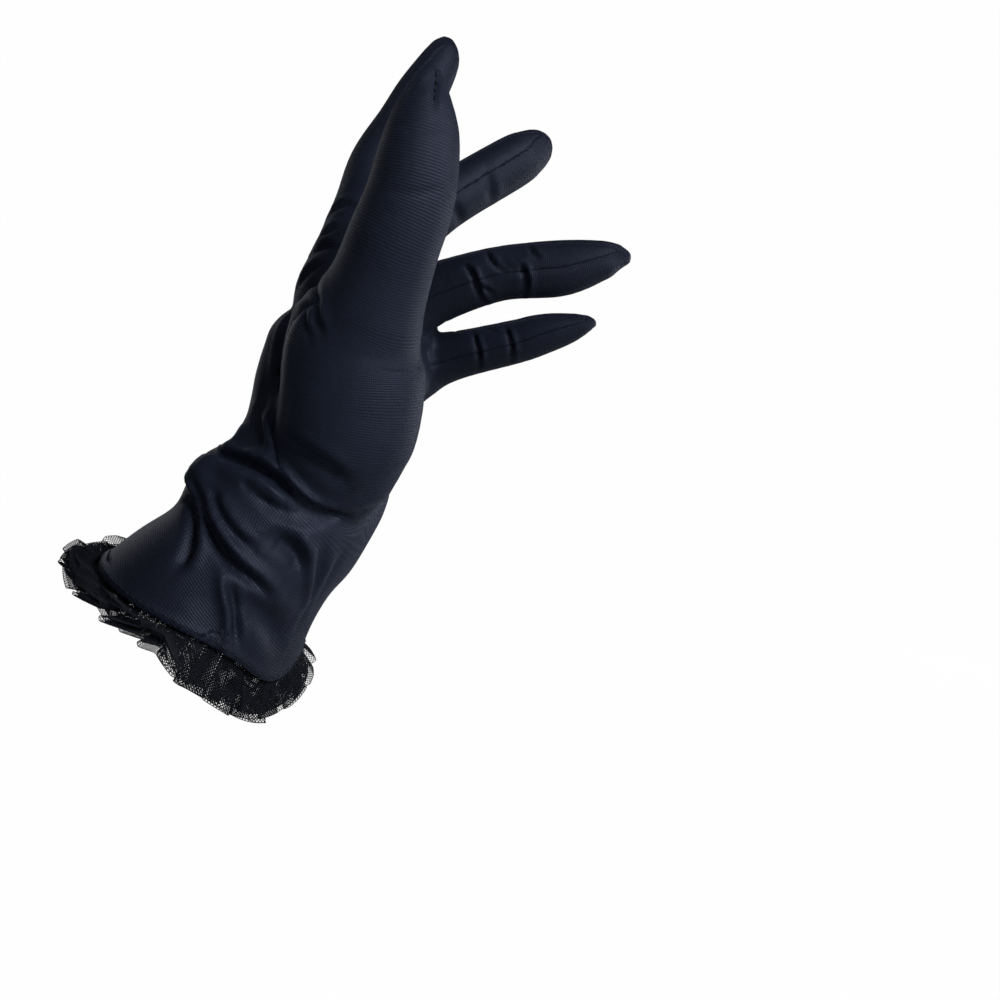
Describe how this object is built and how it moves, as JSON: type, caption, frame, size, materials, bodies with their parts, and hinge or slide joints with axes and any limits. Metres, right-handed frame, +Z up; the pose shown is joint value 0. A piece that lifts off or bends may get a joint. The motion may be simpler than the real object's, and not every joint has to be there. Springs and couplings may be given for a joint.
{
  "type": "wrist-length dress glove with tulle ruffle",
  "caption": "Wrist-length knitted dress glove for the left hand, with a set-in thumb, side strips along the fingers and a gathered tulle ruffle under the hem.",
  "frame": {"origin": "the middle of the cuff's hem, where the wrist goes in", "axes": "+Z up towards the tip of the index finger, +X the side that the palm faces, -Y the thumb's side"},
  "size_m": [0.177, 0.1164, 0.2228],
  "materials": {
    "tricot": "smooth stretch tricot in navy black, with a soft sheen",
    "tulle": "open black net, matte"
  },
  "bodies": {
    "root": {"hand": "tricot", "thumb": "tricot", "fourchette_index_middle": "tricot", "fourchette_middle_ring": "tricot", "fourchette_ring_little": "tricot", "ruffle": "tulle"}
  },
  "joints": []
}
